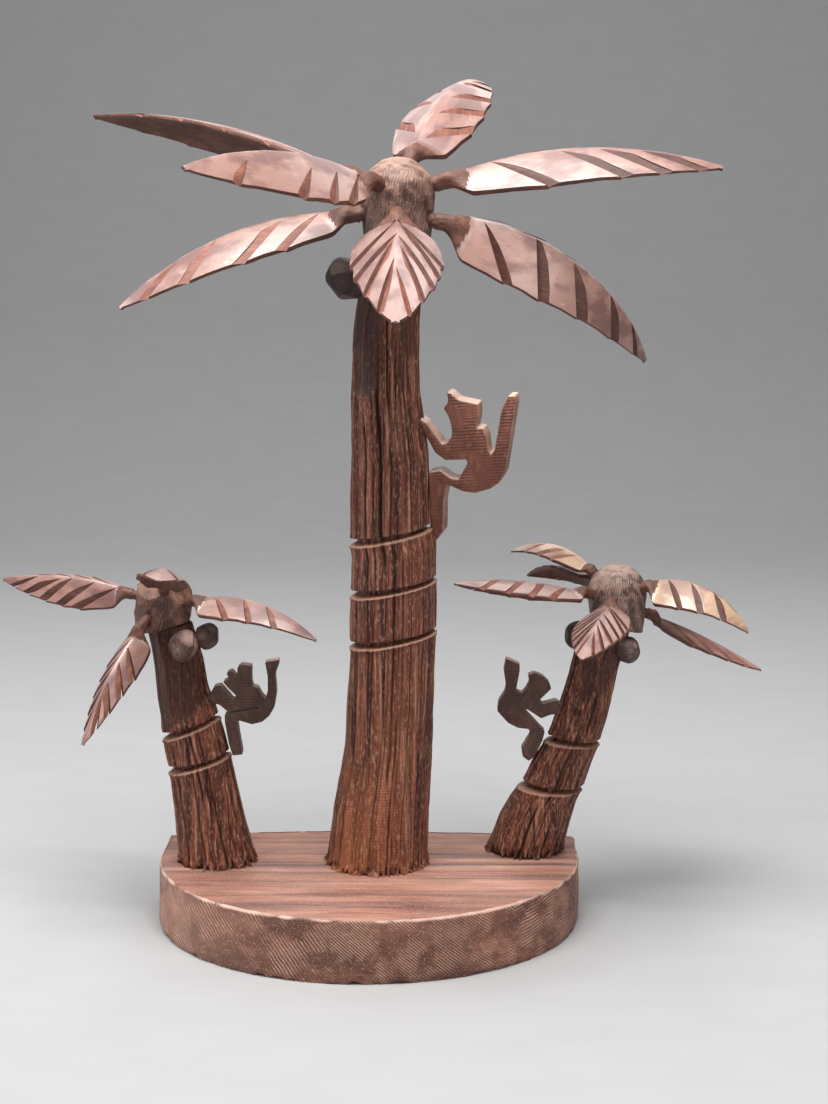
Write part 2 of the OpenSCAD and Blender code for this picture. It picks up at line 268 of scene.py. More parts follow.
def cut_away(piece, tool):
    """Takes the tool's shape out of the piece and throws the tool away."""
    pick(piece)
    step = piece.modifiers.new("cut", "BOOLEAN")
    step.operation = "DIFFERENCE"
    step.solver = "MANIFOLD"
    step.object = tool
    bpy.ops.object.modifier_apply(modifier=step.name)
    bpy.data.objects.remove(tool, do_unlink=True)


cut_away(plank, splinter)


def wood_colours(where, stretch, colours, spread=0.5, seed=0.0, waver=0.4):
    """Long streaks of a few colours. Returns the colour socket and a fine fibre socket."""
    tree = where.id_data
    place = node(tree, "ShaderNodeMapping", Scale=stretch, Location=(seed, seed * 0.7, seed * 1.3),
                 Rotation=(0.5, 0.8, 0.4), Vector=where).outputs["Vector"]
    broad = node(tree, "ShaderNodeTexNoise", Scale=1.0, Detail=5.0, Roughness=0.62, Distortion=waver,
                 Vector=place)
    fine = node(tree, "ShaderNodeTexNoise", Scale=6.5, Detail=4.0, Roughness=0.7, Vector=place)
    blend = node(tree, "ShaderNodeMix", data_type="FLOAT", Factor=0.38, A=broad.outputs["Fac"],
                 B=fine.outputs["Fac"])
    ramp = node(tree, "ShaderNodeValToRGB", Fac=blend.outputs["Result"])
    stops = ramp.color_ramp.elements
    low, high = 0.5 - spread / 2, 0.5 + spread / 2
    for i, colour in enumerate(colours):
        at = low + (high - low) * i / (len(colours) - 1)
        if i < 2:
            stops[i].position = at
            stops[i].color = (*colour, 1)
        else:
            stops.new(at).color = (*colour, 1)
    return ramp.outputs["Color"], fine.outputs["Fac"]


def mix_colour(share, first, second):
    """Blends two colours, each a socket or a plain value."""
    made = node(share.id_data, "ShaderNodeMix", data_type="RGBA", Factor=share)
    for socket, value in zip(made.inputs[6:8], (first, second)):  # its two colours
        if isinstance(value, bpy.types.NodeSocket):
            made.id_data.links.new(value, socket)
        else:
            socket.default_value = (*value, 1)
    return made.outputs[2]  # its colour


def scaled(value, low, high, out_low=0.0, out_high=1.0):
    """Turns the range from low to high into the one from out_low to out_high, and no further."""
    return node(value.id_data, "ShaderNodeMapRange", Value=value, **{
        "From Min": low, "From Max": high, "To Min": out_low, "To Max": out_high}).outputs["Result"]


def toned(colour, value, low, high, share, tone):
    """Brings a colour nearer to a tone, by up to share, as the value goes from low to high."""
    return mix_colour(scaled(value, low, high, 0.0, share), colour, tone)


def combined(operation, first, second):
    made = node(first.id_data, "ShaderNodeMath", operation=operation)
    for socket, value in zip(made.inputs, (first, second)):
        made.id_data.links.new(value, socket)
    return made.outputs["Value"]


def bumped(shader, height, strength, distance, before=None):
    tree = height.id_data
    made = node(tree, "ShaderNodeBump", Strength=strength, Distance=distance, Height=height)
    if before:
        tree.links.new(before, made.inputs["Normal"])
    tree.links.new(made.outputs["Normal"], shader.inputs["Normal"])
    return made.outputs["Normal"]


def noise_of(where, stretch, detail=3.0):
    tree = where.id_data
    place = node(tree, "ShaderNodeMapping", Scale=stretch, Rotation=(0.4, 0.7, 0.9), Vector=where)
    return node(tree, "ShaderNodeTexNoise", Scale=1.0, Detail=detail,
                Vector=place.outputs["Vector"]).outputs["Fac"]


def saw_lines(where, turned, pitch, wobble):
    """Fine parallel marks, pitch metres apart, along a turned direction, fading in and out."""
    tree = where.id_data
    place = node(tree, "ShaderNodeMapping", Rotation=turned, Vector=where)
    faint = scaled(noise_of(where, (90, 90, 90), 2.0), 0.40, 0.56)
    # a wave texture of scale 1 has its bands 0.314 m apart
    made = node(tree, "ShaderNodeTexWave", wave_type="BANDS", bands_direction="Z", Distortion=wobble,
                Detail=3.0, Scale=0.314 / pitch, Vector=place.outputs["Vector"], **{"Detail Scale": 1.6})
    return combined("MULTIPLY", made.outputs["Fac"], faint)


def xyz(vector):
    return node(vector.id_data, "ShaderNodeSeparateXYZ", Vector=vector).outputs


def facing_up(tree):
    return xyz(node(tree, "ShaderNodeNewGeometry").outputs["Normal"])["Z"]


def object_place(tree):
    return node(tree, "ShaderNodeTexCoord").outputs["Object"]


def grained(shader, colour, fibre, smooth, rough):
    """Gives the shader its colour, and a gloss that follows the fibres."""
    links = colour.id_data.links
    links.new(colour, shader.inputs["Base Color"])
    links.new(scaled(fibre, 0.3, 0.7, smooth, rough), shader.inputs["Roughness"])


plank_wood, tree, shader = new_material("plank_oiled_sawn")
here = object_place(tree)
top_colour, fibre = wood_colours(here, (9, 95, 60), [
    (0.07, 0.028, 0.02), (0.33, 0.15, 0.105), (0.50, 0.26, 0.19), (0.62, 0.36, 0.28)], 0.40, 3.1, 0.15)
side_colour = wood_colours(here, (26, 26, 90), [
    (0.055, 0.017, 0.010), (0.17, 0.060, 0.035), (0.31, 0.13, 0.08), (0.47, 0.235, 0.16)], 0.34, 7.7)[0]
up = facing_up(tree)
right = xyz(here)["X"]
# the saw's marks are steep at the left, finer in the middle and shallow at the right
steep = saw_lines(here, (0.0, -0.95, 0.0), 0.0013, 2.5)
fine_marks = saw_lines(here, (0.0, -0.72, 0.0), 0.00095, 1.2)
shallow = saw_lines(here, (0.0, 0.25, 0.0), 0.0013, 3.0)
marks = mix_colour(scaled(right, -0.022, -0.008), steep, fine_marks)
marks = mix_colour(scaled(right, 0.052, 0.062), marks, shallow)
marks = combined("MULTIPLY", scaled(up, 0.6, 0.2), marks)
side_colour = toned(side_colour, noise_of(here, (45, 45, 70), 6.0), 0.42, 0.68, 0.7, (0.085, 0.028, 0.018))
side_colour = toned(side_colour, right, -0.035, -0.075, 0.5, (0.52, 0.26, 0.175))
side_colour = toned(side_colour, marks, 0.2, 0.85, 0.62, (0.66, 0.38, 0.28))
side_colour = toned(side_colour, marks, 0.12, 0.0, 0.30, (0.06, 0.02, 0.013))
top_colour = toned(top_colour, noise_of(here, (7, 210, 40), 5.0), 0.50, 0.68, 0.8, (0.10, 0.065, 0.062))
colour = mix_colour(scaled(up, 0.5, 0.85), side_colour, top_colour)
colour = toned(colour, noise_of(here, (20, 42, 20), 4.0), 0.46, 0.68, 0.5, (0.14, 0.06, 0.045))
colour = toned(colour, noise_of(here, (1700, 1700, 1700), 2.0), 0.60, 0.68, 0.5, (0.72, 0.50, 0.40))
rim = combined("MULTIPLY", scaled(up, 0.18, 0.45), scaled(up, 0.985, 0.88, 0.0, 0.75))
colour = mix_colour(rim, colour, (0.74, 0.52, 0.43))
grained(shader, colour, fibre, 0.42, 0.62)
first = bumped(shader, marks, 0.6, 0.0006)
bumped(shader, noise_of(here, (60, 500, 400)), 0.45, 0.0004, first)
plank.data.materials.clear()
plank.data.materials.append(plank_wood)
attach(plank, "stand")
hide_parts("plank_base")

# ---- Trunks ----
# Each trunk is one length of dark heartwood, rounded with a knife and scored from top to
# bottom with a V-gouge. Slanting saw cuts mark the rings of a palm. A screw from under the
# plank holds its ragged foot, and a dowel in its top carries the crown.


# one ring's saw cut: heights over its edge, how deep it goes there in mm, and how pale it is painted there,
# for the sawn wood and a painted highlight on the ledge's rim
RING_CUT = [
    (-2.2, -0.3, 0.0), (-1.75, -0.42, 0.25), (-1.5, -0.25, 1.0), (-1.3, 0.15, 0.8), (-0.95, 1.3, 0.35),
    (-0.4, 2.8, 0.05), (-0.1, 3.1, 0.0), (0.5, 2.9, 0.0), (0.58, 0.5, 0.1), (0.68, 0.12, 0.0),
    (0.88, 0.0, 0.0)]


def trunk_points(foot, height, rings, cuts, seat, around, pitch, strokes, facets, seed):
    """For each point of the wrapped grid its place, how much painted shade its grooves and hollows take, how
    pale its sawn and highlit ledge is and how smooth it is.
    """
    rings = np.array(rings)
    rows = [(h, 0.0, 0.0) for h in np.arange(0, height, pitch)] + [(height, 0.0, 0.0)]
    for share, slope in cuts:
        at = share * height
        rows = [r for r in rows if not at - 2.3 < r[0] < at + 0.9]
        rows += [(at + up, deep, raw_and_highlight) for up, deep, raw_and_highlight in RING_CUT]
    rows.sort()
    high = np.array([r[0] for r in rows])
    by_height = sorted(cuts)
    tilt = np.tan(np.radians(np.interp(high, [0] + [share * height for share, slope in by_height] + [height],
                                       [0] + [slope for share, slope in by_height] + [seat])))
    middle = np.interp(high / height, rings[:, 0], rings[:, 1])
    wide = np.interp(high / height, rings[:, 0], rings[:, 2])
    soft = np.convolve(np.pad(wide, 12, mode="edge"), np.ones(25) / 25, "valid")
    wide = 0.5 * wide + 0.5 * soft
    theta = np.arange(around) / around * 2 * pi
    T, H = np.meshgrid(theta, high, indexing="xy")
    R = np.repeat(wide[:, None], around, 1)
    cell = T * CELLS / 2 / pi
    random = np.random.default_rng(seed)
    R = R + 0.35 * lattice_noise(cell / 4, H / 17.0, seed + 1) + 0.15 * lattice_noise(cell, H / 5.0, seed + 2)
    smooth = np.zeros_like(R)
    for at, low, up, bite in facets:
        off = (T - radians(at) + pi) % (2 * pi) - pi
        fade = np.clip(np.minimum(H - low, up - H) / 7.0, 0, 1)
        fade = fade * fade * (3 - 2 * fade)
        far = np.interp(H, high, wide) - bite * fade + 5 * (1 - np.minimum(1, fade * 8))
        plane = np.where(np.abs(off) < 1.3, far / np.cos(np.clip(off, -1.3, 1.3)), 99)
        smooth = np.maximum(smooth, np.clip((R - plane) / 0.5, 0, 1) * np.clip(fade * 1.5, 0, 1))
        R = np.minimum(R, plane)
    groove = np.zeros_like(R)
    for c in range(strokes):
        start = -random.uniform(0, 0.4) * height
        while start < height:
            end = start + height * random.uniform(0.35, 1.0)
            across = (c + random.uniform(-0.36, 0.36)) / strokes * 2 * pi
            half = random.choice((0.45, 0.6, 0.8, 1.1), p=(0.35, 0.35, 0.2, 0.1))
            deep = random.uniform(0.6, 1.5) * half
            lean = random.normal(0, 0.0006)
            sway = random.uniform(0, 6.28)
            centre = across + lean * (H - start) + 0.012 * np.sin(H / 23.0 + sway)
            off = np.abs((T - centre + pi) % (2 * pi) - pi) * R
            ends = np.clip(np.minimum(H - start, end - H) / 9.0, 0, 1)
            shape = np.clip(1 - off / half, 0, 1)
            groove = np.maximum(groove, deep * shape * ends)
            start = end - random.uniform(0, 6)
    groove = groove * (1 - 0.75 * smooth)
    ragged = lattice_noise(cell * 2, H / 2.4, seed + 3)
    foot_zone = np.clip(1 - H / 4.2, 0, 1)
    flick = 1.7 * foot_zone * np.maximum(ragged, -0.9) \
        + 0.8 * foot_zone * lattice_noise(cell * 5, H, seed + 4)
    dent = np.array([r[1] for r in rows])[:, None]
    raw_and_highlight = np.repeat(np.array([r[2] for r in rows])[:, None], around, 1)
    R = R - groove * np.where(dent > 1.5, 0.2, 1) - dent + flick
    X = foot[0] + middle[:, None] + R * np.cos(T)
    Y = foot[1] + R * np.sin(T)
    Z = PLANK_T + H + (X - foot[0] - middle[:, None]) * tilt[:, None]
    # each ring's lip curls up a little at one side
    for share, slope in cuts:
        above = H - share * height
        lift = np.where(above > 0.2, np.clip(1 - (above - 0.9) / 4.0, 0, 1), 0)
        Z += 1.1 * lift * np.clip(np.cos(T - radians(215)), 0, 1)
    Z[0] = PLANK_T
    X = np.vstack([np.full(around, foot[0]), X, np.full(around, foot[0] + middle[-1])])
    Y = np.vstack([np.full(around, foot[1]), Y, np.full(around, foot[1])])
    Z = np.vstack([np.full(around, PLANK_T), Z, np.full(around, PLANK_T + height)])
    # painted shade: the gouges' grooves and the hollows of the ragged foot, which the material darkens
    shadowed = np.clip(groove / 0.8 + 1.4 * foot_zone * (0.25 - ragged), 0, 1)
    return X, Y, Z, [np.vstack([a[:1], a, a[-1:]]) for a in (shadowed, raw_and_highlight, smooth)]


def carve_trunk(name, cad_node, wood, **cut):
    X, Y, Z, fill = trunk_points(**cut)
    made, u, v = wrapped_grid(name, X.shape[1], X.shape[0] - 1)
    shape_to(made, np.stack([X[v, u], Y[v, u], Z[v, u]], 1))
    for label, values in zip(("groove", "raw_and_highlight", "smooth"), fill):
        point_value(made, label, values[v, u])
    weld(made, 42)
    made.data.materials.append(wood)
    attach(made, "stand")
    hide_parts(cad_node)


def attribute(tree, name):
    return node(tree, "ShaderNodeAttribute", attribute_name=name).outputs["Fac"]


def trunk_wood(name, low_tone, seed):
    made, tree, shader = new_material(name)
    here = object_place(tree)
    colour, fibre = wood_colours(here, (330, 330, 9), [
        (0.015, 0.006, 0.005), (0.075, 0.021, 0.012), (0.20, 0.062, 0.034), (0.46, 0.21, 0.135)],
        0.36, seed, 0.08)
    colour = toned(colour, noise_of(here, (520, 520, 9)), 0.52, 0.66, 0.8, (0.016, 0.007, 0.005))
    colour = toned(colour, noise_of(here, (800, 800, 16)), 0.55, 0.68, 0.6, (0.50, 0.25, 0.16))
    patches = scaled(noise_of(here, (26, 26, 9)), 0.46, 0.62)
    low_patches = combined("MULTIPLY", patches, scaled(xyz(here)["Z"], 0.11, 0.045))
    colour = toned(colour, low_patches, 0, 1, 0.6, low_tone)
    colour = toned(colour, noise_of(here, (1500, 1500, 420)), 0.54, 0.66, 0.5, (0.46, 0.27, 0.19))
    # painted shade: darkens the grooves and the hollows of the ragged foot
    colour = toned(colour, attribute(tree, "groove"), 0.15, 0.9, 0.8, (0.014, 0.006, 0.005))
    colour = toned(colour, attribute(tree, "smooth"), 0, 1, 0.7, (0.030, 0.012, 0.010))
    # the paler sawn ledge of each ring, with a painted highlight along its rim
    colour = toned(colour, attribute(tree, "raw_and_highlight"), 0, 1, 0.8, (0.42, 0.24, 0.17))
    grained(shader, colour, fibre, 0.42, 0.66)
    shader.inputs["Specular IOR Level"].default_value = 0.28
    rasped = scaled(noise_of(here, (60, 60, 22), 2.0), 0.45, 0.55)
    ticks = combined("MULTIPLY", saw_lines(here, (0.12, 0.0, 0.0), 0.0012, 3.0), rasped)
    first = bumped(shader, ticks, 0.35, 0.00025)
    bumped(shader, noise_of(here, (1500, 1500, 120)), 0.5, 0.0003, first)
    return made


tall_wood = trunk_wood("heartwood_tall", (0.36, 0.12, 0.045), 2.3)
left_wood = trunk_wood("heartwood_left", (0.24, 0.045, 0.022), 5.9)
right_wood = trunk_wood("heartwood_right", (0.19, 0.065, 0.038), 8.4)
carve_trunk(
    "trunk_tall", "tall_trunk", tall_wood, foot=(3.3, 0), height=251,
    rings=[(0, 0, 20.5), (0.09, 1.6, 19.4), (0.2, 5, 17.6), (0.36, 6.7, 17.3), (0.51, 7, 17.1),
           (0.54, 5.3, 15.6), (0.65, 5.6, 15.4), (0.76, 3.7, 13.5), (0.87, 4.2, 13), (1, 7.9, 11.6)],
    cuts=[(0.537, 12), (0.455, 11.5), (0.373, 11)], seat=0, around=270, pitch=0.85, strokes=50,
    facets=[(232, 188, 262, 1.6), (205, 205, 262, 1.2), (318, 200, 262, 0.9)], seed=11)
carve_trunk(
    "trunk_left", "left_trunk", left_wood, foot=(-61.8, 1), height=97,
    rings=[(0, 0, 15.7), (0.12, -2.1, 14.4), (0.25, -4.1, 13.3), (0.37, -5.9, 12.5), (0.49, -8.2, 12),
           (0.62, -11.1, 11.1), (0.73, -13.4, 10.6), (0.84, -14.6, 10.3), (0.94, -16.6, 9.6), (1, -18, 9.4)],
    cuts=[(0.58, 22), (0.43, 17)], seat=13, around=200, pitch=0.6, strokes=36,
    facets=[(268, 57, 104, 1.8), (222, 55, 104, 1.4), (318, 60, 104, 1.3), (180, 58, 104, 1.0),
            (20, 60, 104, 1.0)], seed=23)
carve_trunk(
    "trunk_right", "right_trunk", right_wood, foot=(64, 17), height=95,
    rings=[(0, 0, 15.6), (0.15, 4.6, 14.9), (0.23, 7.7, 13.9), (0.3, 11.8, 12.6), (0.39, 15, 12.2),
           (0.49, 19.7, 10.9), (0.6, 23, 10.5), (0.75, 26.8, 9.5), (0.83, 28.4, 9.2), (1, 33, 9)],
    cuts=[(0.495, -3), (0.29, -2)], seat=-16, around=200, pitch=0.6, strokes=36,
    facets=[(250, 60, 102, 0.7), (300, 64, 102, 0.6)], seed=37)

# ---- Crowns ----
# A crown is a rasped ball of heartwood on a short foot, doweled to the top of its trunk. It is
# bored for the pegs of its fronds. The left crown is whittled to flats, the others are round.


def whittled(directions, far):
    """For each direction, how far out the nearest of the knife's flat cuts lets it reach."""
    def reach(normals):
        lean = directions @ normals.T
        return np.where(lean > 0.2, far / np.maximum(lean, 0.2), 99).min(1)
    return reach


def even_directions(count, seed):
    """Roughly even directions over a sphere, each a little off."""
    k = np.arange(count) + 0.5
    high = 1 - 2 * k / count
    round_ = pi * (1 + 5 ** 0.5) * k
    flat = np.sqrt(1 - high ** 2)
    found = np.stack([flat * np.cos(round_), flat * np.sin(round_), high], 1)
    found += np.random.default_rng(seed).normal(0, 0.16, found.shape)
    return found / np.linalg.norm(found, axis=1)[:, None]


def ball_directions(name, steps):
    clear()
    bpy.ops.mesh.primitive_ico_sphere_add(subdivisions=steps, radius=1.0, location=(0, 0, 0))
    made = bpy.context.object
    made.name = made.data.name = name
    out = points_of(made)
    return made, out / np.linalg.norm(out, axis=1)[:, None]


# a frond's peg points along heading and rise and is rolled, in degrees. Its blade is length mm
# long and bends by bend degrees, is half mm wide from its middle where late puts its widest
# place, and slopes off its ridge by roof. The peg starts low mm under the crown's middle.
Frond = namedtuple("Frond", "heading rise roll length bend half roof late low")
PEG_DEPTH = 5


def peg_reach(frond, r):
    """Along a peg's axis: how far from its start the crown's skin is, and how slanted there."""
    e, low = radians(frond.rise), frond.low
    far = low * sin(e) + sqrt(r * r - (low * cos(e)) ** 2)
    if far * sin(e) >= low:
        return far, asin(low * cos(e) / r)
    return r / cos(e), abs(e)


def peg_frame(at, frond):
    """A peg's own directions: X out along the peg, starting below the crown's middle."""
    return (Matrix.Translation(Vector((at[0], at[1], at[2] - frond.low)) * MM)
            @ Matrix.Rotation(radians(frond.heading), 4, "Z")
            @ Matrix.Rotation(-radians(frond.rise), 4, "Y"))


def carve_crown(name, cad_node, wood, at, r, foot_r, seat_h, seat, flats, flat_depth, fronds, peg_r,
                seed):
    made, out = ball_directions(name, 6)

    def uneven(a, b, pattern):
        return lattice_noise(out[:, 0] * a + 20, out[:, 2] * a + out[:, 1] * b + 20, seed + pattern)

    skin = np.minimum(whittled(out, r * (1 - flat_depth))(even_directions(flats, seed)), r)
    # the rasp was held another way for each patch of the ball
    patches = even_directions(34, seed + 9)
    nearest = (out @ patches.T).argmax(1)
    turned = np.cross(patches, [0.12, 0.05, 1.0]) + 0.45 * even_directions(34, seed + 5)
    turned -= patches * (turned * patches).sum(1)[:, None]
    turned /= np.linalg.norm(turned, axis=1)[:, None]
    teeth = np.sin((out * turned[nearest]).sum(1) * r * 2 * pi / 1.05 + nearest + 2 * uneven(6, 7, 2))
    drag = 0.5 + 0.5 * uneven(9, 5, 0)
    rough = 0.16 * teeth * drag + 0.12 * uneven(5, 6, 3)
    place = out * (skin + rough - 0.1)[:, None]
    # under the middle the ball runs straight down to its foot, cut to the slant of its seat
    down = np.degrees(np.arcsin(np.clip(-out[:, 2], 0, 1)))
    flat = np.linalg.norm(out[:, :2], axis=1) + 1e-9
    wall = np.clip(down / 60, 0, 1)
    wide = np.where(down < 60, skin * (1 - (1 - foot_r) * wall), r * foot_r * (90 - down) / 30) + rough * 0.8
    low = down > 0
    x = out[:, 0] / flat * wide
    place[low, 0] = x[low]
    place[low, 1] = (out[:, 1] / flat * wide)[low]
    place[low, 2] = (wall * (seat_h + tan(radians(seat)) * x))[low]
    shape_to(made, place + np.array(at))
    # the rasp's relief for the material, which paints its ridges paler, as scuffing and a painted highlight,
    # and its hollows darker as painted shade
    point_value(made, "worn", np.clip(0.5 + 3.4 * rough, 0, 1))
    weld(made, 60)
    drills = []
    for frond in fronds:
        out_at = peg_reach(frond, r)[0]
        clear()
        bpy.ops.mesh.primitive_cylinder_add(vertices=32, radius=1.0, depth=1.0, location=(0, 0, 0))
        drills.append(bpy.context.object)
        drills[-1].data.transform(
            peg_frame(at, frond) @ Matrix.Translation(((out_at - PEG_DEPTH + 9.7) * MM, 0, 0))
            @ Matrix.Rotation(pi / 2, 4, "Y")
            @ Matrix.Diagonal(((peg_r + 0.05) * MM, (peg_r + 0.05) * MM, 20 * MM, 1)))
    cut_away(made, joined(drills))
    pick(made)
    bpy.ops.object.shade_smooth_by_angle(angle=radians(60))
    made.data.materials.clear()
    made.data.materials.append(wood)
    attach(made, "stand")
    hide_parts(cad_node)


def joined(pieces):
    clear()
    for piece in pieces:
        piece.select_set(True)
    bpy.context.view_layer.objects.active = pieces[0]
    bpy.ops.object.join()
    return pieces[0]


def rasped_wood(name, dark, mid, pale, seed):
    made, tree, shader = new_material(name)
    here = object_place(tree)
    colour, fibre = wood_colours(here, (120, 120, 60), [dark, mid, pale], 0.42, seed)
    up, worn = facing_up(tree), attribute(tree, "worn")
    # painted light: faces that look up are made paler as a painted highlight, faces that look down darker as
    # painted shade
    colour = toned(colour, up, 0.25, 0.95, 0.5, pale)
    colour = toned(colour, up, 0.3, -0.3, 0.45, dark)
    # on a crown, worn is the rasp's relief: ridges painted paler, part scuffing and part painted highlight,
    # hollows darker as painted shade; on a coconut it marks the knife's flats
    colour = toned(colour, worn, 0.45, 0.95, 0.55, pale)
    colour = toned(colour, noise_of(here, (700, 700, 700), 4.0), 0.52, 0.7, 0.5, pale)
    colour = toned(colour, worn, 0.5, 0.15, 0.7, dark)
    grained(shader, colour, fibre, 0.5, 0.72)
    bumped(shader, noise_of(here, (1300, 1300, 500), 4.0), 0.55, 0.0003)
    return made


TALL_FRONDS = [Frond(*row) for row in (
    (157, 31, 26, 118, 38, 15, 0.5, 0.77, 3.7), (239, 15, -34, 102, 30, 13.5, 0.55, 0.8, 0),
    (194, -1, -25, 102, 44, 12.6, 0.35, 0.78, 7), (69, 51, 2, 106, 58, 17, 0.5, 0.78, 2.3),
    (-6, 19, 32, 114, 36, 12.5, 0.35, 0.74, 1), (-18, -9, 50, 114, 80, 13.2, 0.55, 0.61, 7.5),
    (271, -11, -2, 120, 12, 17.2, 0.46, 0.58, 4.6))]
LEFT_FRONDS = [Frond(*row) for row in (
    (174, 12, -45, 57, 22, 8.1, 0.65, 0.76, 1), (239, -32, -8, 55, 36, 7.6, 0.78, 0.56, 0),
    (281, 38, -12, 58, 50, 10, 0.4, 0.84, 2.5), (-27, 15, 12, 59, 54, 8.6, 0.5, 0.57, 3.4))]
RIGHT_FRONDS = [Frond(*row) for row in (
    (152, 46, -9, 43, 76, 7, 0.38, 0.8, 3.5), (116, 22, 32, 46, 60, 10, 0.45, 0.65, 2),
    (209, 20, 8, 65, 22, 9.5, 0.64, 0.8, 4), (255, 0, 0, 63, 18, 11, 0.45, 0.64, 2),
    (-32, 18, 24, 50, 84, 9.9, 0.36, 0.55, 0.5), (24, 13, 6, 52, 64, 9, 0.45, 0.62, 1.2),
    (15, -21, 4, 58, 12, 8, 0.52, 0.76, 4))]
TALL_AT, LEFT_AT, RIGHT_AT = (12, 0, 292.4), (-82.3, 1, 133), (100.9, 17, 133)
TALL_R, SMALL_R = 14.6, 12.0
TALL_PEG, SMALL_PEG = 2.75, 1.9
tall_rasped = rasped_wood("rasped_tall", (0.035, 0.014, 0.011), (0.12, 0.052, 0.036), (0.40, 0.25, 0.19), 1.7)
left_rasped = rasped_wood("rasped_left", (0.04, 0.014, 0.011), (0.12, 0.048, 0.032), (0.30, 0.16, 0.11), 4.4)
right_rasped = rasped_wood("rasped_right", (0.03, 0.014, 0.012), (0.11, 0.055, 0.042), (0.38, 0.26, 0.21),
                           6.2)
carve_crown("crown_tall", "tall_crown", tall_rasped, TALL_AT, TALL_R, 0.9, -16.4, 0, 44, 0.025,
            TALL_FRONDS, TALL_PEG, 3)
carve_crown("crown_left", "left_crown", left_rasped, LEFT_AT, SMALL_R, 0.9, -11, 13, 14, 0.12,
            LEFT_FRONDS, SMALL_PEG, 8)
carve_crown("crown_right", "right_crown", right_rasped, RIGHT_AT, SMALL_R, 0.9, -13, -16, 44, 0.025,
            RIGHT_FRONDS, SMALL_PEG, 15)

# ---- Fronds ----
# Each frond is carved from one thin stick: a round rasped neck with a peg on its end, then a
# roof-shaped blade, scraped and polished on top. V-gouge cuts slant from its ridge out
# through both edges and show raw wood; one wall of each cut is painted darker as its shade.
# Each peg is pushed into its hole in the crown.
# the shares of the way round that half the polished top, an edge and half the underside take
TOP_SHARE, EDGE_SHARE, UNDER_SHARE = 0.27, 0.05, 0.18
# how much taller than its cut a gouge's bar is, and the size of a triangle of radius 1
BAR_TALL, TRIANGLE_HALF, TRIANGLE_TALL = 1.9, 0.866, 1.5


def leaf_half_width(t, late):
    return np.sin(pi * np.power(np.clip(t, 0.0005, 0.985), late)) ** 0.7


def blade_point(frond, t, x, y):
    """A point on the bent blade, from its place along, across and above the middle line."""
    bend = radians(frond.bend)
    run = frond.length / bend
    b = bend * t
    return np.stack([run * np.sin(b) + y * np.sin(b), x, -run * (1 - np.cos(b)) + y * np.cos(b)], -1)


def roof(frond, x, w, ridge):
    """The height of the polished top, across the blade. ridge is where its crest runs."""
    off = x / w - ridge
    return -frond.roof * w * np.abs(off / np.where(off > 0, 1 - ridge, 1 + ridge)) ** 1.22


def gouge_bar(shape, woods, frond, sign, leave, gouges, shoulder, random):
    """A three-sided bar laid point down along one cut, which leaves the blade at leave."""
    slant, wide, deep, from_ridge, ridge = gouges[2:]

    def on_top(t, x):
        return blade_point(frond, t, x, roof(frond, x, half_at(t), ridge))

    def half_at(t):
        return frond.half * leaf_half_width(np.array([t]), frond.late)[0]

    wander = random.uniform(-1, 1)
    start = max(0.12, leave - slant * (1 + 0.15 * wander))
    x0 = (ridge + sign * (from_ridge + 0.05 * wander) * (1 - sign * ridge)) * half_at(start)
    x1 = sign * half_at(leave)
    mid_t, mid_x, h = (start + leave) / 2, (x0 + x1) / 2, 0.01
    across = on_top(mid_t, mid_x + h) - on_top(mid_t, mid_x - h)
    ahead = blade_point(frond, mid_t + h, mid_x, 0) - blade_point(frond, mid_t - h, mid_x, 0)
    up = np.cross(ahead, across)
    up = up / np.linalg.norm(up) * (1 if up[2] > 0 else -1)
    size = wide * (0.85 + 0.3 * random.random()) * min(1.0, 0.45 + 0.9 * half_at(leave) / frond.half)
    depth = deep * (0.95 + 0.3 * random.random()) * (1 - 0.3 * leave)
    low_in = on_top(start, x0) - up * 0.04
    low_out = on_top(leave, x1) - up * depth
    aim = low_out - low_in
    length = np.linalg.norm(aim)
    aim /= length
    sideways = np.cross(up, aim)
    sideways /= np.linalg.norm(sideways)
    upright = np.cross(aim, sideways)
    centre = (low_in + low_out) / 2 + aim * 1.2
    bar = shape.copy()
    # after the half turn its point is at -1 and its flat back at +0.5
    grown = Matrix.Diagonal((size * 0.5 * BAR_TALL / TRIANGLE_HALF, depth * BAR_TALL / TRIANGLE_TALL,
                             length / 2 + 2.2, 1))
    bar.transform(Matrix.Rotation(radians(22 * sign), 4, "Z") @ grown @ Matrix.Translation((0, 1.0, 0))
                  @ Matrix.Rotation(pi, 4, "Z"))
    bar.transform(Matrix(((sideways[0], upright[0], aim[0], centre[0] + shoulder),
                          (sideways[1], upright[1], aim[1], centre[1]),
                          (sideways[2], upright[2], aim[2], centre[2]), (0, 0, 0, 1))))
    # the steep wall, on the crown's side, takes the fourth wood and the other walls the second; one of the
    # two is the darker copy painted as the cut's shade
    for wood in woods:
        bar.materials.append(wood)
    crown_side = -ahead / np.linalg.norm(ahead)
    for wall in bar.polygons:
        leans = (np.array(wall.center) - centre - (shoulder, 0, 0)) @ crown_side
        capped = abs(np.array(wall.normal) @ aim) > 0.5
        wall.material_index = 3 if leans > 0 and not capped else 1
    bar.transform(Matrix.Scale(MM, 4))
    return bar


